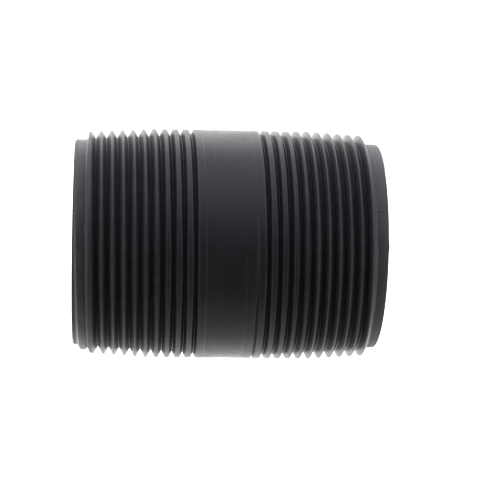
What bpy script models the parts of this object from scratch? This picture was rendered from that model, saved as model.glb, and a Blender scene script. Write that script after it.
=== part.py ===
"""Plastic pipe nipple, 1-1/2 inch nominal size, 2-1/2 inches long, threaded on both ends.

It is one length of thick-walled pipe. The pipe's axis lies along X and the origin is at its centre.
Each end has a right-hand tapered thread with 60 degree flanks. Its ridge rises out of a plain lead-in,
and its groove runs out into the plain band in the middle.
"""

import math

import bmesh
import bpy

MM = 0.001
TURN = 2.0 * math.pi

# The pipe
LENGTH = 63.5 * MM
PIPE_RADIUS = 24.13 * MM
BAND_RADIUS = 24.05 * MM
BORE_RADIUS = 19.05 * MM
RIM_WIDTH = 0.30 * MM
RIM_DROP = 0.12 * MM
BORE_CHAMFER = 0.40 * MM

# The thread form, the same on both ends
PITCH = 25.4 * MM / 11.5
FLANK_SLOPE = 1.0 / math.tan(math.radians(30.0))
CREST_TAPER = 1.0 / 16.0
ROOT_TAPER = 0.0565
ROOT_HALF_FLAT = 0.06 * MM
LEAST_CREST_HALF_FLAT = 0.05 * MM

# Where the groove begins and how it ends, in turns along the helix
ROOT_SETTLES = (0.5, 1.0)
RISE_POWER = 1.85

# Columns of vertices round the pipe, and how close two vertices are one
SIDES = 36
MERGE_DISTANCE = 1e-7

PLASTIC_COLOUR = (0.028, 0.028, 0.031, 1.0)
PLASTIC_ROUGHNESS = 0.42
SHARP_ANGLE = math.radians(25.0)


def ramp(value, low, high):
    """0 below low, 1 above high, and a smooth change between them."""
    share = min(max((value - low) / (high - low), 0.0), 1.0)
    return share * share * (3.0 - 2.0 * share)


class ThreadedEnd:
    """One threaded end. Depth is counted from its end face, and turns along its helix."""

    def __init__(
        self,
        turned,
        lead_in_radius,
        start_side,
        start_depth,
        face_crest,
        groove_depth,
        rise_turns,
        groove_turns,
        run_out_turns,
    ):
        self.turned = turned
        self.lead_in_radius = lead_in_radius
        self.start_angle = TURN * start_side / SIDES
        self.start_depth = start_depth
        self.face_crest = face_crest
        self.groove_depth = groove_depth
        self.rise_turns = rise_turns
        self.groove_turns = groove_turns
        self.run_out_turns = run_out_turns

    def depth_of(self, turns):
        """Depth of the helix after a number of turns."""
        return self.start_depth + turns * PITCH

    def ridge_radius(self, turns):
        """Top of the ridge: it rises out of the lead-in, follows the taper and ends level with the band."""
        if turns <= 0.0:
            return self.lead_in_radius
        full = min(self.face_crest + CREST_TAPER * self.depth_of(turns), PIPE_RADIUS)
        if turns < self.rise_turns:
            share = 1.0 - (1.0 - turns / self.rise_turns) ** RISE_POWER
            return self.lead_in_radius + (full - self.lead_in_radius) * share
        end = ramp(turns, self.groove_turns - 0.5, self.groove_turns + 0.5)
        return full + (BAND_RADIUS - full) * end

    def root_radius(self, turns):
        """Bottom of the groove: level with the lead-in at first, then on the taper, then out to the band."""
        cone = self.face_crest + ROOT_TAPER * self.depth_of(turns) - self.groove_depth
        root = self.lead_in_radius + (cone - self.lead_in_radius) * ramp(turns, *ROOT_SETTLES)
        run_out = ramp(turns, self.groove_turns - self.run_out_turns, self.groove_turns)
        return root + (BAND_RADIUS - root) * run_out

    def radius(self, winding, depth):
        """Outside radius where the helix has wound a part of a turn, at a depth."""
        turns = (depth - self.start_depth) / PITCH
        off_crest = turns - winding - round(turns - winding)
        ridge = self.ridge_radius(turns - off_crest)
        root = self.root_radius(turns - off_crest + math.copysign(0.5, off_crest))
        up_flank = max(0.0, (0.5 - abs(off_crest)) * PITCH - ROOT_HALF_FLAT)
        return max(self.lead_in_radius, min(root + FLANK_SLOPE * up_flank, ridge))

    def crest_half_width(self, turns, side):
        """Half of the ridge's flat top, towards the groove on one side of it."""
        rise = self.ridge_radius(turns) - self.root_radius(turns + side * 0.5)
        widest = PITCH / 2.0 - ROOT_HALF_FLAT
        return min(max(widest - rise / FLANK_SLOPE, LEAST_CREST_HALF_FLAT), widest)

    def edge_depths(self, winding):
        """Depths of the thread's edges in one column of vertices, from the rim to the band."""
        first = max(RIM_WIDTH, self.depth_of(-0.5))
        last = self.depth_of(self.groove_turns + 1.5)
        depths = [first]
        for index in range(-1, int(self.groove_turns) + 2):
            turns = winding + index
            crest = self.depth_of(turns)
            groove = crest + PITCH / 2.0
            depths.append(crest - self.crest_half_width(turns, -1))
            depths.append(crest + self.crest_half_width(turns, 1))
            depths.append(groove - ROOT_HALF_FLAT)
            depths.append(groove + ROOT_HALF_FLAT)
        depths.append(last)
        return [min(max(depth, first), last) for depth in depths]

    def profile(self, winding):
        """Points (depth, radius) from the middle of the bore, out over the rim and back to the middle."""
        points = [
            (LENGTH / 2.0, BORE_RADIUS),
            (BORE_CHAMFER, BORE_RADIUS),
            (0.0, BORE_RADIUS + BORE_CHAMFER),
            (0.0, self.lead_in_radius - RIM_DROP),
            (RIM_WIDTH, self.lead_in_radius),
        ]
        points.extend((depth, self.radius(winding, depth)) for depth in self.edge_depths(winding))
        points.append((LENGTH / 2.0, BAND_RADIUS))
        return points

    def place(self, winding, depth, radius):
        """A point of this end in the pipe's frame. The turned end is a left end turned half round about Z."""
        angle = self.start_angle + TURN * winding
        facing = -1.0 if self.turned else 1.0
        x = facing * (depth - LENGTH / 2.0)
        y = facing * radius * math.cos(angle)
        return (x, y, radius * math.sin(angle))

    def add_to(self, mesh):
        """Adds this end's surface. The last column lies on the first, one turn of the thread further on."""
        columns = []
        for side in range(SIDES + 1):
            winding = side / SIDES
            column = [mesh.verts.new(self.place(winding, *point)) for point in self.profile(winding)]
            columns.append(column)
        for column, neighbour in zip(columns, columns[1:]):
            for low in range(len(column) - 1):
                mesh.faces.new((column[low], neighbour[low], neighbour[low + 1], column[low + 1]))


LEFT_END = ThreadedEnd(
    turned=False,
    lead_in_radius=21.51 * MM,
    start_side=9,
    start_depth=0.89 * MM,
    face_crest=23.12 * MM,
    groove_depth=1.50 * MM,
    rise_turns=1.0,
    groove_turns=11.46,
    run_out_turns=0.48,
)
RIGHT_END = ThreadedEnd(
    turned=True,
    lead_in_radius=21.63 * MM,
    start_side=11,
    start_depth=1.75 * MM,
    face_crest=23.25 * MM,
    groove_depth=1.63 * MM,
    rise_turns=0.42,
    groove_turns=11.30,
    run_out_turns=0.60,
)


def nipple_mesh():
    """The whole pipe as one closed mesh: its two ends meet at the middle of the band and of the bore."""
    mesh = bmesh.new()
    LEFT_END.add_to(mesh)
    RIGHT_END.add_to(mesh)
    bmesh.ops.remove_doubles(mesh, verts=mesh.verts, dist=MERGE_DISTANCE)
    bmesh.ops.recalc_face_normals(mesh, faces=mesh.faces)
    data = bpy.data.meshes.new("nipple_body")
    mesh.to_mesh(data)
    mesh.free()
    return data


def plastic():
    """Satin charcoal plastic."""
    material = bpy.data.materials.new("charcoal_plastic")
    material.use_nodes = True
    shader = material.node_tree.nodes["Principled BSDF"]
    shader.inputs["Base Color"].default_value = PLASTIC_COLOUR
    shader.inputs["Roughness"].default_value = PLASTIC_ROUGHNESS
    shader.inputs["Metallic"].default_value = 0.0
    return material


def clear_scene():
    """Removes the objects that are already in the scene."""
    for thing in list(bpy.data.objects):
        bpy.data.objects.remove(thing, do_unlink=True)


def main():
    """Builds the nipple."""
    clear_scene()
    data = nipple_mesh()
    data.shade_smooth()
    data.set_sharp_from_angle(angle=SHARP_ANGLE)
    data.materials.append(plastic())
    nipple = bpy.data.objects.new("nipple_body", data)
    bpy.context.scene.collection.objects.link(nipple)


main()
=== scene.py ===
"""Looks of the threaded pipe nipple: a fine mesh of its threads, its satin plastic and a plain studio.

The pipe's axis lies along X and the origin is at its centre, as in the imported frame.
"""

import logging
import math
from dataclasses import dataclass
from enum import Enum

import bmesh
import bpy
import numpy as np
from mathutils import Matrix, Vector


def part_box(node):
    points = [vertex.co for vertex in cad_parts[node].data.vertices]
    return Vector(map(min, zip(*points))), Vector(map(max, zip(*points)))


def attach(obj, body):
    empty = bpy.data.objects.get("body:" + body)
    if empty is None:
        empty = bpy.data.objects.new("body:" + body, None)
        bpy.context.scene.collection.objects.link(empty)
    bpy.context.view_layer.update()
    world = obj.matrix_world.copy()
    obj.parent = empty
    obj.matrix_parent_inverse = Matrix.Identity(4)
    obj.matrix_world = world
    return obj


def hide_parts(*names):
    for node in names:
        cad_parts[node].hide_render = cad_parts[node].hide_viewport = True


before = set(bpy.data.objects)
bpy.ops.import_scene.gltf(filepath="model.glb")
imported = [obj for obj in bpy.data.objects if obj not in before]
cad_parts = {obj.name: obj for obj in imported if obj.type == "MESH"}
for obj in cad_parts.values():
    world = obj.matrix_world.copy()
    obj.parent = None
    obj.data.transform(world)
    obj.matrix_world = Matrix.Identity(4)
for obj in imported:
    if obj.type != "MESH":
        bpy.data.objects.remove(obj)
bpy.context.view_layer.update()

MM = 0.001
TURN = 2.0 * math.pi
NODE = "nipple_body"

log = logging.getLogger("nipple")


class Facing(Enum):
    """Which way an end face looks along the pipe's axis."""

    LEFT = -1.0
    RIGHT = 1.0


class Mark(Enum):
    """What each vertex knows about its place on the surface. The value is the attribute's name."""

    EDGE = "ridge_edge"
    SUNK = "sunk_in_groove"
    # Turned finish of the lead-in; towards the rim it also carries a painted highlight.
    TURNED = "turned_lead_in"


class Skin(Enum):
    """Finishes of the one moulding. The value is the material's index on the mesh."""

    OUTSIDE = 0
    BORE = 1


def smooth_step(value: np.ndarray, low: float, high: float) -> np.ndarray:
    """Eases from 0 to 1.

    Args:
        value: Where to read the step.
        low: Value at and under which the result is 0.
        high: Value at and over which the result is 1.

    Returns:
        The eased share, as an array of the value's shape.
    """
    share = np.clip((value - low) / (high - low), 0.0, 1.0)
    return share * share * (3.0 - 2.0 * share)


def smooth_min(first: np.ndarray, second: np.ndarray, blend: float) -> np.ndarray:
    """Smaller of two surfaces, with the crease between them rounded.

    Args:
        first: Heights of one surface.
        second: Heights of the other.
        blend: Height difference under which they blend, in metres.

    Returns:
        The blended heights.
    """
    near = np.maximum(blend - np.abs(first - second), 0.0) / blend
    return np.minimum(first, second) - near * near * blend / 4.0


def smooth_max(first: np.ndarray, second: np.ndarray, blend: float) -> np.ndarray:
    """Larger of two surfaces, with the crease between them rounded."""
    return -smooth_min(-first, -second, blend)


@dataclass(frozen=True)
class PipeSizes:
    """Sizes of the plain pipe, in metres.

    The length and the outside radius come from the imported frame.
    """

    length: float
    pipe_radius: float
    band_radius: float = 24.05 * MM
    bore_radius: float = 19.05 * MM
    rim_width: float = 0.30 * MM
    rim_drop: float = 0.12 * MM
    bore_chamfer: float = 0.40 * MM


@dataclass(frozen=True)
class ThreadForm:
    """Shape of the thread, in metres. A pair says where a smooth change starts and where it is complete."""

    pitch: float = 25.4 * MM / 11.5
    slope: float = 1.0 / math.tan(math.radians(30.0))
    taper: float = 1.0 / 16.0
    root_taper: float = 0.0565
    root_half_flat: float = 0.06 * MM
    least_half_crest: float = 0.05 * MM
    band_steepness: float = 0.22
    sharp_crest_blend: float = 0.12 * MM
    crest_blend: float = 0.22 * MM
    root_blend: float = 0.10 * MM
    start_blend: float = 0.40 * MM
    crest_dish: float = 0.08 * MM
    blunt_width: float = 0.20 * MM
    apron_rise: float = 0.55 * MM
    apron_width: float = 0.80 * MM
    trace_depth: float = 0.06 * MM
    trace_turns: float = 1.3
    trace_settles: tuple = (1.2, 1.9)

    rise_power: float = 1.85
    ridge_levels: tuple = (-0.5, 1.0)
    root_settles: tuple = (0.5, 1.0)
    hump_falls: tuple = (0.90, 1.03)
    upright_grows: tuple = (0.60, 0.95)
    upright_fades: tuple = (1.50, 1.75)
    upright_steepness: float = 3.0
    flank_steepens: tuple = (4.0, 9.0)
    crest_start_sharpens: tuple = (0.25, 0.60)
    root_start_sharpens: tuple = (0.80, 1.02)
    crest_widens: tuple = (0.12 * MM, 0.40 * MM)
    dish_deepens: tuple = (0.10 * MM, 0.50 * MM)
    edge_shows: tuple = (0.30 * MM, 0.90 * MM)
    edge_reach: float = 0.11 * MM
    turned_closes: tuple = (0.55, 0.95)
    # Turned share added at the rim; its lighter colour there is a painted highlight along the end's edge.
    rim_turned_painted_light: float = 0.8
    rim_painted_light_fades: tuple = (0.55 * MM, 1.0 * MM)


@dataclass
class ThreadedEnd:
    """One threaded end. Depth is counted from its end face, and turns along its helix.

    A turned end is a left end turned half round about the vertical.
    """

    facing: Facing
    pipe: PipeSizes
    form: ThreadForm
    lead_in_radius: float
    start_angle: float
    start_depth: float
    face_crest: float
    groove_depth: float
    rise_turns: float
    groove_turns: float
    run_out_turns: float
    blunt: bool
    plain_turns: float
    plain_fade: float
    plain_share: float
    nib: float = 0.0
    nib_angle: float = 0.0
    nib_spread: float = math.radians(3.5)

    def depth_of(self, turns: np.ndarray) -> np.ndarray:
        """Depth of the helix after a number of turns."""
        return self.start_depth + turns * self.form.pitch

    def ridge_radius(self, turns: np.ndarray) -> np.ndarray:
        """Radius of the ridge's top.

        Args:
            turns: Turns along the helix.

        Returns:
            Radii that rise out of the lead-in, follow the taper and end level with the band.
        """
        lead_in = self.lead_in_radius
        cone = self.face_crest + self.form.taper * self.depth_of(turns)
        full = np.minimum(cone, self.pipe.pipe_radius)
        rise = 1.0 - (1.0 - np.clip(turns / self.rise_turns, 0.0, 1.0)) ** self.form.rise_power
        end = smooth_step(turns - self.groove_turns, *self.form.ridge_levels)
        top = lead_in + (full - lead_in) * rise
        return top + (self.pipe.band_radius - top) * end

    def root_radius(self, turns: np.ndarray) -> np.ndarray:
        """Radius of the groove's bottom.

        Args:
            turns: Turns along the helix.

        Returns:
            Radii that start level with the lead-in, follow the taper, run out to a faint trace and then end.
        """
        form = self.form
        lead_in = self.lead_in_radius
        cone = self.face_crest + form.root_taper * self.depth_of(turns) - self.groove_depth
        root = lead_in + (cone - lead_in) * smooth_step(turns, *form.root_settles)
        if self.blunt:
            hump = self.ridge_radius(turns - 0.5)
            root = hump + (root - hump) * smooth_step(turns, *form.hump_falls)
        fade = smooth_step(turns, self.groove_turns, self.groove_turns + form.trace_turns)
        trace = self.ridge_radius(turns) - form.trace_depth * (1.0 - fade)
        run_out = smooth_step(turns, self.groove_turns - self.run_out_turns, self.groove_turns)
        return root + (trace - root) * run_out

    def uprightness(self, turns: np.ndarray, side: np.ndarray) -> np.ndarray:
        """How far a blunt start's outer face stands upright.

        Args:
            turns: Turns along the helix, at the ridge.
            side: -1 towards the end face and 1 away from it.

        Returns:
            Shares that are 1 where the face is steepest and 0 away from it.
        """
        grown = smooth_step(turns, *self.form.upright_grows)
        faded = smooth_step(turns, *self.form.upright_fades)
        return grown * (1.0 - faded) * (side < 0) * float(self.blunt)

    def plain_slope(self, turns: np.ndarray) -> np.ndarray:
        """Rise over run of the thread's flanks, which stand a little steeper near the band."""
        near_band = smooth_step(turns, *self.form.flank_steepens)
        return self.form.slope * (1.0 + self.form.band_steepness * near_band)

    def flank_slope(self, turns: np.ndarray, side: np.ndarray) -> np.ndarray:
        """Rise over run of the ridge's flank, on the side towards the end face (-1) or the other (1)."""
        return self.plain_slope(turns) * (1.0 + self.form.upright_steepness * self.uprightness(turns, side))

    def crest_half_width(self, turns: np.ndarray, side: np.ndarray) -> np.ndarray:
        """Half of the ridge's top on one side of its middle.

        Args:
            turns: Turns along the helix, at the ridge.
            side: -1 towards the end face and 1 away from it.

        Returns:
            Half widths, in metres.
        """
        rise = self.ridge_radius(turns) - self.root_radius(turns + side * 0.5)
        widest = self.form.pitch / 2.0 - self.form.root_half_flat
        half = np.clip(widest - rise / self.plain_slope(turns), self.form.least_half_crest, widest)
        return half + self.form.blunt_width * self.uprightness(turns, side)

    def crest_blend(self, turns: np.ndarray, half: np.ndarray) -> np.ndarray:
        """Rounding of the ridge's corners: widest where the ridge begins, least where its top is sharp.

        Args:
            turns: Turns along the helix, at the ridge.
            half: Half widths of the ridge's top, in metres.

        Returns:
            Height differences under which the top and the flank blend, in metres.
        """
        form = self.form
        wide = smooth_step(half, *form.crest_widens)
        settled = form.sharp_crest_blend + (form.crest_blend - form.sharp_crest_blend) * wide
        soft = (1.0 - smooth_step(turns, *form.crest_start_sharpens)) * float(self.blunt)
        return settled + (form.start_blend - settled) * soft

    def root_blend(self, turns: np.ndarray) -> np.ndarray:
        """Rounding of the groove's bottom, widest where the groove begins.

        Args:
            turns: Turns along the helix, at the groove.

        Returns:
            Height differences under which the flank and the bottom blend, in metres.
        """
        form = self.form
        soft = (1.0 - smooth_step(turns, *form.root_start_sharpens)) * float(self.blunt)
        return form.root_blend + (form.start_blend - form.root_blend) * soft

    def surface(self, winding: np.ndarray, depth: np.ndarray) -> dict:
        """Outside radius and the marks of each point.

        Args:
            winding: Share of a turn from the thread's start angle.
            depth: Depths to read, in metres.

        Returns:
            The radii under "radius", and each mark's values under the mark.
        """
        form = self.form
        lead_in = self.lead_in_radius
        turns = (depth - self.start_depth) / form.pitch
        off_crest = turns - winding - np.round(turns - winding)
        side = np.where(off_crest < 0.0, -1.0, 1.0)
        at_ridge = turns - off_crest
        ridge = self.ridge_radius(at_ridge)
        root = self.root_radius(at_ridge + 0.5 * side)
        half = self.crest_half_width(at_ridge, side)
        along = np.abs(off_crest) * form.pitch
        width = (half + self.crest_half_width(at_ridge, -side)) / 2.0
        raised = smooth_step(ridge - root, *form.dish_deepens)
        dish = form.crest_dish * smooth_step(width, *form.crest_widens) * raised
        top = ridge - dish * np.clip(1.0 - (along / half) ** 2, 0.0, 1.0)
        flank = ridge - self.flank_slope(at_ridge, side) * (along - half)
        apron_share = 1.0 - (along - half) / form.apron_width
        floor = root + form.apron_rise * self.uprightness(at_ridge, side) * np.clip(apron_share, 0.0, 1.0)
        ridge_shape = smooth_min(top, flank, self.crest_blend(at_ridge, half))
        shape = smooth_max(ridge_shape, floor, self.root_blend(at_ridge + 0.5 * side))
        shape = np.maximum(shape, lead_in)
        settled = smooth_step(turns - self.groove_turns, *form.trace_settles)
        shape = shape + (self.pipe.band_radius - shape) * settled
        near_corner = np.exp(-(((along - half) / form.edge_reach) ** 2))
        past_helix = smooth_step(turns - winding, self.plain_turns - self.plain_fade, self.plain_turns)
        past_ring = smooth_step(turns, self.plain_turns - self.plain_fade, self.plain_turns)
        to_ring = smooth_step(winding, *form.turned_closes) * float(self.blunt)
        past_plain = past_helix + (past_ring - past_helix) * to_ring
        # Towards the rim the turned share rises: the lighter colour there is a painted highlight along the
        # end's edge, and the rim is also turned rougher with rings.
        near_rim = 1.0 - smooth_step(depth, *form.rim_painted_light_fades)
        plain = self.plain_share + (1.0 - self.plain_share) * form.rim_turned_painted_light * near_rim
        return {
            "radius": shape,
            Mark.EDGE: near_corner * smooth_step(ridge - root, *form.edge_shows),
            Mark.SUNK: np.clip((ridge - shape) / self.groove_depth, 0.0, 1.0),
            Mark.TURNED: plain * (1.0 - past_plain),
        }

    def row_depths(self, winding: np.ndarray) -> np.ndarray:
        """Depths of the mesh's rows, from the rim to the plain band.

        Args:
            winding: Each column's share of a turn, one to a line of a column vector.

        Returns:
            One line of depths to a column, closest together at the ridge's corners and at its foot.
        """
        form = self.form
        turns = winding + np.arange(-1, int(self.groove_turns) + 3)[None, :]
        first = max(self.pipe.rim_width, float(self.depth_of(-0.5)))
        last = float(self.depth_of(int(self.groove_turns) + 2.5))
        crest = self.depth_of(turns)
        widest = form.pitch / 2.0
        rows = [crest, crest + widest]
        for side in (-1.0, 1.0):
            half = self.crest_half_width(turns, side)
            rise = self.ridge_radius(turns) - self.root_radius(turns + side * 0.5)
            foot = half + rise / self.flank_slope(turns, np.full(turns.shape, side))
            crest_round = self.crest_blend(turns, half) / form.slope
            root_round = self.root_blend(turns + 0.5 * side) / form.slope
            lines = [half - crest_round, half, half + crest_round]
            lines += [foot - root_round, foot, foot + root_round, half + form.apron_width]
            rows += [crest + side * np.clip(line, 0.0, widest) for line in lines]
        stack = np.sort(np.stack(rows, axis=-1), axis=-1)
        return np.clip(stack.reshape(len(winding), -1), first, last)

    def columns(self, angles: np.ndarray) -> dict:
        """Points of this end's mesh.

        Args:
            angles: Angles of the columns about the pipe's axis, in the pipe's frame.

        Returns:
            Points under "point" as an array of columns, rows and coordinates, and each mark's values.
            The last column lies on the first, one turn of the thread further on.
        """
        pipe = self.pipe
        local = angles if self.facing is Facing.LEFT else math.pi - angles
        winding = np.sort(np.mod(np.round((local - self.start_angle) / TURN, 9), 1.0))
        winding = np.append(winding, 1.0)[:, None]
        depth = self.row_depths(winding)
        shown = self.surface(winding, depth)
        angle = self.start_angle + TURN * winding
        off_nib = np.abs(np.mod(angle - self.nib_angle + math.pi, TURN) - math.pi)
        count = len(winding)
        profile = np.array(
            [
                (pipe.length / 2.0, pipe.bore_radius),
                (pipe.bore_chamfer, pipe.bore_radius),
                (0.0, pipe.bore_radius + pipe.bore_chamfer),
                (0.0, self.lead_in_radius - pipe.rim_drop),
                (pipe.rim_width, self.lead_in_radius),
            ]
        )
        profile_depth = np.tile(profile[:, 0], (count, 1))
        profile_depth[:, 3:4] -= self.nib * np.clip(1.0 - off_nib / self.nib_spread, 0.0, 1.0)
        depth = np.hstack([profile_depth, depth, np.full((count, 1), pipe.length / 2.0)])
        radius = np.hstack(
            [np.tile(profile[:, 1], (count, 1)), shown["radius"], np.full((count, 1), pipe.band_radius)]
        )
        facing = -self.facing.value
        point = np.stack(
            [facing * (depth - pipe.length / 2.0), facing * radius * np.cos(angle), radius * np.sin(angle)],
            axis=-1,
        )
        result = {"point": point}
        for mark in Mark:
            inner = self.plain_share if mark is Mark.TURNED else 0.0
            inside = np.full((count, len(profile)), inner)
            result[mark] = np.hstack([inside, shown[mark], np.zeros((count, 1))])
        return result


class Nodes:
    """Places and joins the nodes of one tree."""

    def __init__(self, tree: bpy.types.NodeTree) -> None:
        """Keeps the tree that is built."""
        self.tree = tree

    def add(self, kind: str, **settings: object) -> bpy.types.Node:
        """Places a node.

        Args:
            kind: The node's type, without its ShaderNode prefix.
            settings: Properties of the node.

        Returns:
            The new node.
        """
        node = self.tree.nodes.new("ShaderNode" + kind)
        for name, value in settings.items():
            setattr(node, name, value)
        return node

    def feed(self, socket: bpy.types.NodeSocket, source: object) -> None:
        """Joins a socket to an output, or sets its value if the source is a plain value.

        Args:
            socket: The socket to feed.
            source: An output, or a number, vector or colour.
        """
        if isinstance(source, bpy.types.NodeSocket):
            self.tree.links.new(source, socket)
        else:
            socket.default_value = source

    def math(self, operation: str, first: object, second: object = 0.0) -> bpy.types.NodeSocket:
        """Result of a Math node.

        Args:
            operation: The node's operation.
            first: Its first value or output.
            second: Its second value or output.

        Returns:
            The node's output.
        """
        node = self.add("Math", operation=operation)
        self.feed(node.inputs[0], first)
        self.feed(node.inputs[1], second)
        return node.outputs[0]

    def spread(self, value: object, old: tuple, new: tuple) -> bpy.types.NodeSocket:
        """Value carried smoothly from one range to another.

        Args:
            value: Output to carry over.
            old: Lowest and highest value that is read.
            new: What they become.

        Returns:
            The node's output.
        """
        node = self.add("MapRange", interpolation_type="SMOOTHSTEP")
        self.feed(node.inputs["Value"], value)
        for name, number in zip(("From Min", "From Max", "To Min", "To Max"), (*old, *new)):
            node.inputs[name].default_value = number
        return node.outputs["Result"]

    def noise(
        self, position: object, scale: float, detail: float, dimensions: str = "3D"
    ) -> bpy.types.NodeSocket:
        """Factor of a noise texture.

        Args:
            position: Output with the coordinates, or with the one coordinate of 1D noise.
            scale: Features per metre.
            detail: Octaves.
            dimensions: "3D" or "1D".

        Returns:
            The noise, about 0.5 on average.
        """
        node = self.add("TexNoise", noise_dimensions=dimensions)
        self.feed(node.inputs["W" if dimensions == "1D" else "Vector"], position)
        node.inputs["Scale"].default_value = scale
        node.inputs["Detail"].default_value = detail
        return node.outputs[0]

    def mix_colour(self, share: object, first: object, second: object) -> bpy.types.NodeSocket:
        """Colour between two.

        Args:
            share: 0 for the first colour and 1 for the second.
            first: A colour or an output.
            second: A colour or an output.

        Returns:
            The node's colour output.
        """
        node = self.add("Mix", data_type="RGBA")
        self.feed(node.inputs[0], share)
        self.feed(node.inputs[6], first)
        self.feed(node.inputs[7], second)
        return node.outputs[2]

    def attribute(self, name: str) -> bpy.types.NodeSocket:
        """A mesh attribute's value."""
        return self.add("Attribute", attribute_name=name).outputs["Fac"]


class EffectGroup:
    """A shader node group with named inputs and outputs, built once and placed in each material."""

    def __init__(self, name: str, inputs: tuple, outputs: tuple) -> None:
        """Makes the empty group.

        Args:
            name: The group's name.
            inputs: Name and socket type of each input.
            outputs: Name and socket type of each output.
        """
        self.tree = bpy.data.node_groups.new(name, "ShaderNodeTree")
        for label, kind in inputs:
            self.tree.interface.new_socket(label, in_out="INPUT", socket_type="NodeSocket" + kind)
        for label, kind in outputs:
            self.tree.interface.new_socket(label, in_out="OUTPUT", socket_type="NodeSocket" + kind)
        self.nodes = Nodes(self.tree)
        self.source = self.tree.nodes.new("NodeGroupInput")
        self.sink = self.tree.nodes.new("NodeGroupOutput")

    def put_out(self, label: str, value: bpy.types.NodeSocket) -> None:
        """Joins a value to one of the group's outputs."""
        self.tree.links.new(value, self.sink.inputs[label])

    def place(self, nodes: Nodes, **values: object) -> bpy.types.Node:
        """Places the group in a material.

        Args:
            nodes: The material's nodes.
            values: What each input gets, with spaces in its name written as underscores.

        Returns:
            The group's node.
        """
        node = nodes.add("Group", node_tree=self.tree)
        for label, value in values.items():
            nodes.feed(node.inputs[label.replace("_", " ")], value)
        return node


def turning_lines_group() -> EffectGroup:
    """Fine rings that a turning tool leaves round a pipe whose axis is X.

    Returns:
        A group that puts out the rings' height and a mask of the broad bands between feed changes.
    """
    group = EffectGroup(
        "turning_lines",
        (("Position", "Vector"), ("Rings per Metre", "Float")),
        (("Height", "Float"), ("Bands", "Float")),
    )
    nodes = group.nodes
    split = nodes.add("SeparateXYZ")
    nodes.feed(split.inputs[0], group.source.outputs["Position"])
    along = nodes.math("MULTIPLY", split.outputs["X"], group.source.outputs["Rings per Metre"])
    wobble = nodes.math("MULTIPLY", nodes.noise(group.source.outputs["Position"], 90.0, 2.0), 0.6)
    along = nodes.math("ADD", along, wobble)
    rings = nodes.noise(along, 1.0, 3.0, "1D")
    bands = nodes.noise(along, 0.13, 1.0, "1D")
    group.put_out("Height", rings)
    group.put_out("Bands", nodes.spread(bands, (0.38, 0.62), (0.0, 1.0)))
    return group


def moulded_grain_group() -> EffectGroup:
    """Fine pitting of moulded plastic and the slow change of its sheen.

    Returns:
        A group that puts out the grain's height and a sheen value about 0.5.
    """
    group = EffectGroup(
        "moulded_grain",
        (("Position", "Vector"),),
        (("Height", "Float"), ("Sheen", "Float")),
    )
    nodes = group.nodes
    position = group.source.outputs["Position"]
    fine = nodes.noise(position, 5200.0, 2.0)
    pits = nodes.spread(nodes.noise(position, 1700.0, 1.0), (0.25, 0.45), (-0.6, 0.0))
    group.put_out("Height", nodes.math("ADD", fine, pits))
    broad = nodes.noise(position, 140.0, 3.0)
    small = nodes.noise(position, 900.0, 2.0)
    broad_part = nodes.math("MULTIPLY", broad, 0.6)
    small_part = nodes.math("MULTIPLY", small, 0.4)
    group.put_out("Sheen", nodes.math("ADD", broad_part, small_part))
    return group


def edge_highlight_group() -> EffectGroup:
    """Painted highlight along the ridges' corners, broken up along the edge.

    Returns:
        A group that puts out the painted highlight's mask.
    """
    group = EffectGroup(
        "painted_edge_highlight",
        (("Position", "Vector"), ("Edge", "Float")),
        (("Mask", "Float"),),
    )
    nodes = group.nodes
    blotches = nodes.noise(group.source.outputs["Position"], 520.0, 4.0)
    patches = nodes.spread(blotches, (0.35, 0.68), (0.66, 1.0))
    group.put_out("Mask", nodes.math("MULTIPLY", patches, group.source.outputs["Edge"]))
    return group


@dataclass(frozen=True)
class StepMark:
    """A short raised line along the pipe on the right lead-in, where the mould's halves step."""

    angle: float = math.radians(22.0)
    half_width: float = 0.0095
    start: float = 29.45 * MM
    end: float = 30.95 * MM
    fade: float = 0.15 * MM
    rise: float = 0.09

    def group(self) -> EffectGroup:
        """Builds the mark.

        Returns:
            A group that puts out the mark's height, in millimetres.
        """
        group = EffectGroup("mould_step_mark", (("Position", "Vector"),), (("Height", "Float"),))
        nodes = group.nodes
        split = nodes.add("SeparateXYZ")
        nodes.feed(split.inputs[0], group.source.outputs["Position"])
        towards_front = nodes.math("MULTIPLY", split.outputs["Y"], -1.0)
        angle = nodes.math("ARCTAN2", split.outputs["Z"], towards_front)
        off_line = nodes.math("ABSOLUTE", nodes.math("SUBTRACT", angle, self.angle))
        line = nodes.spread(off_line, (0.0, self.half_width), (self.rise, 0.0))
        begun = nodes.spread(split.outputs["X"], (self.start - self.fade, self.start), (0.0, 1.0))
        ended = nodes.spread(split.outputs["X"], (self.end, self.end + self.fade), (1.0, 0.0))
        group.put_out("Height", nodes.math("MULTIPLY", line, nodes.math("MULTIPLY", begun, ended)))
        return group


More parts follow.
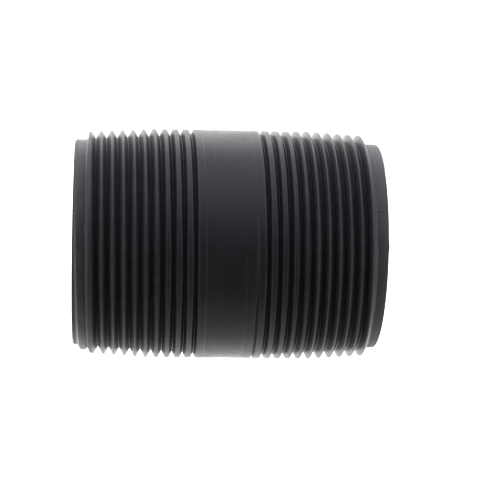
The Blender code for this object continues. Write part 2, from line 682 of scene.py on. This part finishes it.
@dataclass(frozen=True)
class PlasticFinish:
    """Charcoal plastic as one of the pipe's surfaces shows it."""

    name: str
    colour: tuple
    turned_colour: tuple
    # Colour of the painted highlight on the ridges' corners.
    edge_highlight_colour: tuple
    # How much lighter the groove bottoms are painted, as fill light.
    groove_painted_fill: float
    roughness: float
    turned_roughness: float
    specular: float
    grain_height: float
    ring_height: float
    turned_ring_height: float
    rings_per_metre: float

    def material(
        self, lines: EffectGroup, grain: EffectGroup, edge_highlight: EffectGroup, step: EffectGroup
    ) -> bpy.types.Material:
        """Builds the material.

        Args:
            lines: The turning lines.
            grain: The moulded grain.
            edge_highlight: The painted highlight on the ridges' corners.
            step: The mould's step mark.

        Returns:
            The finished material.
        """
        material = bpy.data.materials.new(self.name)
        material.use_nodes = True
        nodes = Nodes(material.node_tree)
        shader = material.node_tree.nodes["Principled BSDF"]
        position = nodes.add("TexCoord").outputs["Object"]
        # The turned share also carries the painted highlight along the rim.
        turned = nodes.attribute(Mark.TURNED.value)
        sunk = nodes.attribute(Mark.SUNK.value)
        rings = lines.place(nodes, Position=position, Rings_per_Metre=self.rings_per_metre)
        pits = grain.place(nodes, Position=position)
        mask = edge_highlight.place(nodes, Position=position, Edge=nodes.attribute(Mark.EDGE.value)).outputs["Mask"]

        colour = nodes.mix_colour(turned, self.colour, self.turned_colour)
        # Painted highlight: the ridges' corners are coloured lighter in broken patches, standing in for the
        # light their rounded edges catch.
        colour = nodes.mix_colour(nodes.math("MULTIPLY", mask, 0.8), colour, self.edge_highlight_colour)
        shade = nodes.spread(pits.outputs["Sheen"], (0.3, 0.7), (0.93, 1.07))
        # Painted fill light: the colour is made lighter towards the bottom of the grooves, standing in for
        # the light that reaches into them.
        shade = nodes.math("MULTIPLY", shade, nodes.spread(sunk, (0.2, 0.9), (1.0, self.groove_painted_fill)))
        shaded = nodes.add("VectorMath", operation="SCALE")
        nodes.feed(shaded.inputs[0], colour)
        nodes.feed(shaded.inputs["Scale"], shade)
        nodes.feed(shader.inputs["Base Color"], shaded.outputs[0])

        rough = nodes.spread(turned, (0.0, 1.0), (self.roughness, self.turned_roughness))
        change = nodes.spread(pits.outputs["Sheen"], (0.3, 0.7), (-0.05, 0.05))
        bands = nodes.spread(rings.outputs["Bands"], (0.0, 1.0), (-0.03, 0.04))
        streaks = nodes.math("MULTIPLY", turned, bands)
        change = nodes.math("ADD", change, streaks)
        nodes.feed(shader.inputs["Roughness"], nodes.math("ADD", rough, change))
        shader.inputs["Specular IOR Level"].default_value = self.specular

        ring_height = nodes.spread(turned, (0.0, 1.0), (self.ring_height, self.turned_ring_height))
        height = nodes.math("MULTIPLY", rings.outputs["Height"], ring_height)
        height = nodes.math("ADD", height, step.place(nodes, Position=position).outputs["Height"])
        height = nodes.math("ADD", height, nodes.math("MULTIPLY", pits.outputs["Height"], self.grain_height))
        bump = nodes.add("Bump")
        bump.inputs["Strength"].default_value = 1.0
        bump.inputs["Distance"].default_value = MM
        nodes.feed(bump.inputs["Height"], height)
        nodes.feed(shader.inputs["Normal"], bump.outputs[0])
        return material


OUTSIDE_FINISH = PlasticFinish(
    name="charcoal_plastic_outside",
    colour=(0.0210, 0.0210, 0.0238, 1.0),
    turned_colour=(0.102, 0.102, 0.105, 1.0),
    # Colour of the painted highlight on the ridges' corners.
    edge_highlight_colour=(0.090, 0.090, 0.094, 1.0),
    # Groove bottoms painted lighter, as fill light.
    groove_painted_fill=1.45,
    roughness=0.36,
    turned_roughness=0.54,
    specular=0.5,
    grain_height=0.0016,
    ring_height=0.0,
    turned_ring_height=0.030,
    rings_per_metre=5200.0,
)
BORE_FINISH = PlasticFinish(
    name="charcoal_plastic_bore",
    colour=(0.015, 0.015, 0.017, 1.0),
    turned_colour=(0.015, 0.015, 0.017, 1.0),
    # Colour of the painted highlight on the ridges' corners.
    edge_highlight_colour=(0.030, 0.030, 0.033, 1.0),
    groove_painted_fill=1.0,
    roughness=0.40,
    turned_roughness=0.40,
    specular=0.5,
    grain_height=0.0022,
    ring_height=0.006,
    turned_ring_height=0.010,
    rings_per_metre=2600.0,
)


@dataclass
class PipeNipple:
    """The one moulding: a pipe with a threaded end on each side of a plain band."""

    pipe: PipeSizes
    form: ThreadForm = ThreadForm()
    sides: int = 180
    merge_distance: float = 2.0e-7
    sharp_angle: float = math.radians(32.0)

    def ends(self) -> tuple:
        """The two threaded ends.

        Returns:
            The left end and the right end.
        """
        left = ThreadedEnd(
            facing=Facing.LEFT,
            pipe=self.pipe,
            form=self.form,
            lead_in_radius=21.51 * MM,
            start_angle=math.radians(90.0),
            start_depth=0.89 * MM,
            face_crest=23.12 * MM,
            groove_depth=1.50 * MM,
            rise_turns=1.0,
            groove_turns=11.46,
            run_out_turns=0.48,
            blunt=True,
            plain_turns=1.04,
            plain_fade=0.06,
            plain_share=0.45,
        )
        right = ThreadedEnd(
            facing=Facing.RIGHT,
            pipe=self.pipe,
            form=self.form,
            lead_in_radius=21.63 * MM,
            start_angle=math.radians(110.0),
            start_depth=1.75 * MM,
            face_crest=23.25 * MM,
            groove_depth=1.63 * MM,
            rise_turns=0.42,
            groove_turns=11.30,
            run_out_turns=0.60,
            blunt=False,
            plain_turns=-0.02,
            plain_fade=0.42,
            plain_share=0.86,
            nib=0.15 * MM,
            nib_angle=math.radians(3.0),
        )
        return left, right

    def mesh(self) -> bpy.types.Mesh:
        """Builds the closed surface of both ends, which meet at the middle of the band and of the bore.

        Returns:
            The mesh, with each mark as a vertex attribute and the bore's faces on its own finish.
        """
        angles = TURN * np.arange(self.sides) / self.sides
        points, marks, faces, skins = [], {mark: [] for mark in Mark}, [], []
        start = 0
        for end in self.ends():
            columns = end.columns(angles)
            grid = columns["point"]
            wide, tall = grid.shape[:2]
            index = start + np.arange(wide * tall).reshape(wide, tall)
            quads = np.stack([index[:-1, :-1], index[1:, :-1], index[1:, 1:], index[:-1, 1:]], axis=-1)
            faces.append(quads.reshape(-1, 4))
            skin = np.full(quads.shape[:2], Skin.OUTSIDE.value)
            skin[:, 0] = Skin.BORE.value
            skins.append(skin.ravel())
            points.append(grid.reshape(-1, 3))
            for mark in Mark:
                marks[mark].append(columns[mark].ravel())
            start += wide * tall
        data = bpy.data.meshes.new("pipe_nipple")
        data.from_pydata(np.vstack(points).tolist(), [], np.vstack(faces).tolist())
        data.polygons.foreach_set("material_index", np.concatenate(skins).astype(np.int32))
        for mark in Mark:
            attribute = data.attributes.new(mark.value, "FLOAT", "POINT")
            attribute.data.foreach_set("value", np.concatenate(marks[mark]).astype(np.float32))
        self.close(data)
        return data

    def close(self, data: bpy.types.Mesh) -> None:
        """Merges the vertices that lie together and turns the faces outward.

        Args:
            data: The mesh to close.
        """
        shape = bmesh.new()
        shape.from_mesh(data)
        bmesh.ops.remove_doubles(shape, verts=shape.verts, dist=self.merge_distance)
        bmesh.ops.recalc_face_normals(shape, faces=shape.faces)
        shape.to_mesh(data)
        shape.free()
        data.shade_smooth()
        data.set_sharp_from_angle(angle=self.sharp_angle)

    def build(self) -> bpy.types.Object:
        """Builds the nipple and dresses it.

        Returns:
            The finished piece.
        """
        piece = bpy.data.objects.new("pipe_nipple", self.mesh())
        bpy.context.scene.collection.objects.link(piece)
        groups = (turning_lines_group(), moulded_grain_group(), edge_highlight_group(), StepMark().group())
        for finish in (OUTSIDE_FINISH, BORE_FINISH):
            piece.data.materials.append(finish.material(*groups))
        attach(piece, "root")
        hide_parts(NODE)
        return piece


@dataclass
class ShootingTable:
    """A plain pale table that the nipple lies on. It glows as paper lit from below does."""

    height: float
    half_width: float = 6.0
    glow: float = 1.15

    def build(self) -> bpy.types.Object:
        """Builds the table's top.

        Returns:
            The staged floor.
        """
        size = self.half_width
        corners = [(-size, -size, self.height), (size, -size, self.height)]
        corners += [(size, size, self.height), (-size, size, self.height)]
        data = bpy.data.meshes.new("shooting_table")
        data.from_pydata(corners, [], [(0, 1, 2, 3)])
        material = bpy.data.materials.new("glowing_paper")
        material.use_nodes = True
        shader = material.node_tree.nodes["Principled BSDF"]
        shader.inputs["Base Color"].default_value = (0.8, 0.8, 0.8, 1.0)
        shader.inputs["Roughness"].default_value = 0.9
        shader.inputs["Emission Color"].default_value = (1.0, 1.0, 1.0, 1.0)
        shader.inputs["Emission Strength"].default_value = self.glow
        data.materials.append(material)
        floor = bpy.data.objects.new("shooting_table", data)
        bpy.context.scene.collection.objects.link(floor)
        floor.visible_diffuse = False
        floor.visible_glossy = False
        return floor


@dataclass(frozen=True)
class LightPanel:
    """A soft panel of light round the pipe's axis, from one angle to another.

    Angles are in degrees: 0 in front, 90 overhead, 180 behind and -90 below.
    """

    low: float
    high: float
    level: float


@dataclass
class SoftStudio:
    """Soft white light: a dim front, a bounce from the table, a bank overhead and a bright backdrop.

    Between two panels the light changes evenly from the one's level to the other's.
    """

    table: LightPanel = LightPanel(-100.0, -90.0, 0.65)
    front: LightPanel = LightPanel(-45.0, 5.0, 0.09)
    overhead: LightPanel = LightPanel(80.0, 100.0, 1.15)
    backdrop: LightPanel = LightPanel(125.0, 205.0, 2.25)
    side_level: float = 0.80
    side_from: float = 0.45
    side_full: float = 0.95
    plain_tint: tuple = (0.997, 0.997, 1.02)
    cool_tint: tuple = (0.985, 0.975, 1.12)
    cool_from: float = 0.0
    cool_to: float = 115.0
    paper: float = 1.15

    def stops(self) -> list:
        """Where the light's level is set, round the pipe's axis.

        Returns:
            Pairs of an angle in degrees and a level, from -180 to 180. The backdrop lies across the ends.
        """
        back = self.backdrop
        stops = [(-180.0, back.level), (back.high - 360.0, back.level)]
        for panel in (self.table, self.front, self.overhead):
            stops += [(panel.low, panel.level), (panel.high, panel.level)]
        return stops + [(back.low, back.level), (180.0, back.level)]

    def build(self) -> bpy.types.World:
        """Builds the world's light.

        Returns:
            The world.
        """
        world = bpy.data.worlds.new("soft_studio")
        world.use_nodes = True
        tree = world.node_tree
        tree.nodes.clear()
        nodes = Nodes(tree)
        split = nodes.add("SeparateXYZ")
        nodes.feed(split.inputs[0], nodes.add("TexCoord").outputs["Generated"])
        towards_front = nodes.math("MULTIPLY", split.outputs["Y"], -1.0)
        angle = nodes.math("ARCTAN2", split.outputs["Z"], towards_front)
        share = nodes.math("ADD", nodes.math("DIVIDE", angle, TURN), 0.5)
        ramp = nodes.add("ValToRGB")
        elements = ramp.color_ramp.elements
        while len(elements) > 1:
            elements.remove(elements[-1])
        highest = self.backdrop.level
        for order, (degrees, level) in enumerate(self.stops()):
            position = degrees / 360.0 + 0.5
            element = elements[0] if order == 0 else elements.new(position)
            element.position = position
            tint = self.cool_tint if self.cool_from < degrees < self.cool_to else self.plain_tint
            element.color = (*(level / highest * channel for channel in tint), 1.0)
        nodes.feed(ramp.inputs[0], share)
        sideways = nodes.math("ABSOLUTE", split.outputs["X"])
        sideways = nodes.spread(sideways, (self.side_from, self.side_full), (0.0, 1.0))
        side = (*(self.side_level / highest * channel for channel in self.plain_tint), 1.0)
        light = nodes.add("Background")
        nodes.feed(light.inputs["Color"], nodes.mix_colour(sideways, ramp.outputs[0], side))
        light.inputs["Strength"].default_value = highest
        paper = nodes.add("Background")
        paper.inputs["Color"].default_value = (1.0, 1.0, 1.0, 1.0)
        paper.inputs["Strength"].default_value = self.paper
        seen = nodes.add("MixShader")
        nodes.feed(seen.inputs[0], nodes.add("LightPath").outputs["Is Camera Ray"])
        nodes.feed(seen.inputs[1], light.outputs[0])
        nodes.feed(seen.inputs[2], paper.outputs[0])
        out = nodes.add("OutputWorld")
        nodes.feed(out.inputs["Surface"], seen.outputs[0])
        bpy.context.scene.world = world
        return world


@dataclass
class StudioCamera:
    """A long lens a little above the nipple's axis and a little to its left, rolled slightly."""

    lens: float = 125.13
    distance: float = 354.4 * MM
    yaw: float = 0.0716
    pitch: float = 0.050
    roll: float = 0.0182
    right_of_centre: float = 3.24 * MM
    above_centre: float = 0.86 * MM

    def build(self) -> bpy.types.Object:
        """Builds the camera.

        Returns:
            The scene's camera.
        """
        forward = Vector(
            (
                math.sin(self.yaw) * math.cos(self.pitch),
                math.cos(self.yaw) * math.cos(self.pitch),
                -math.sin(self.pitch),
            )
        )
        level = Vector((math.cos(self.yaw), -math.sin(self.yaw), 0.0))
        upright = level.cross(forward)
        right = math.cos(self.roll) * level + math.sin(self.roll) * upright
        up = math.cos(self.roll) * upright - math.sin(self.roll) * level
        data = bpy.data.cameras.new("studio_camera")
        data.lens = self.lens
        data.sensor_width = 36.0
        data.clip_start = 0.01
        data.clip_end = 100.0
        camera = bpy.data.objects.new("studio_camera", data)
        bpy.context.scene.collection.objects.link(camera)
        place = right * self.right_of_centre + up * self.above_centre - forward * self.distance
        turn = Matrix((right, up, -forward)).transposed().to_4x4()
        camera.matrix_world = Matrix.Translation(place) @ turn
        bpy.context.scene.camera = camera
        return camera


def main() -> None:
    """Builds the nipple, its table, the light and the camera."""
    logging.basicConfig(level=logging.INFO)
    bpy.context.scene.view_settings.view_transform = "Standard"
    low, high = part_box(NODE)
    pipe = PipeSizes(length=high.x - low.x, pipe_radius=high.z)
    nipple = PipeNipple(pipe).build()
    log.info("%s: %d faces", nipple.name, len(nipple.data.polygons))
    table = ShootingTable(height=low.z).build()
    log.info("%s at height %.4f m", table.name, table.data.vertices[0].co.z)
    log.info("%s", SoftStudio().build().name)
    log.info("%s", StudioCamera().build().name)


if __name__ == "__main__":
    main()
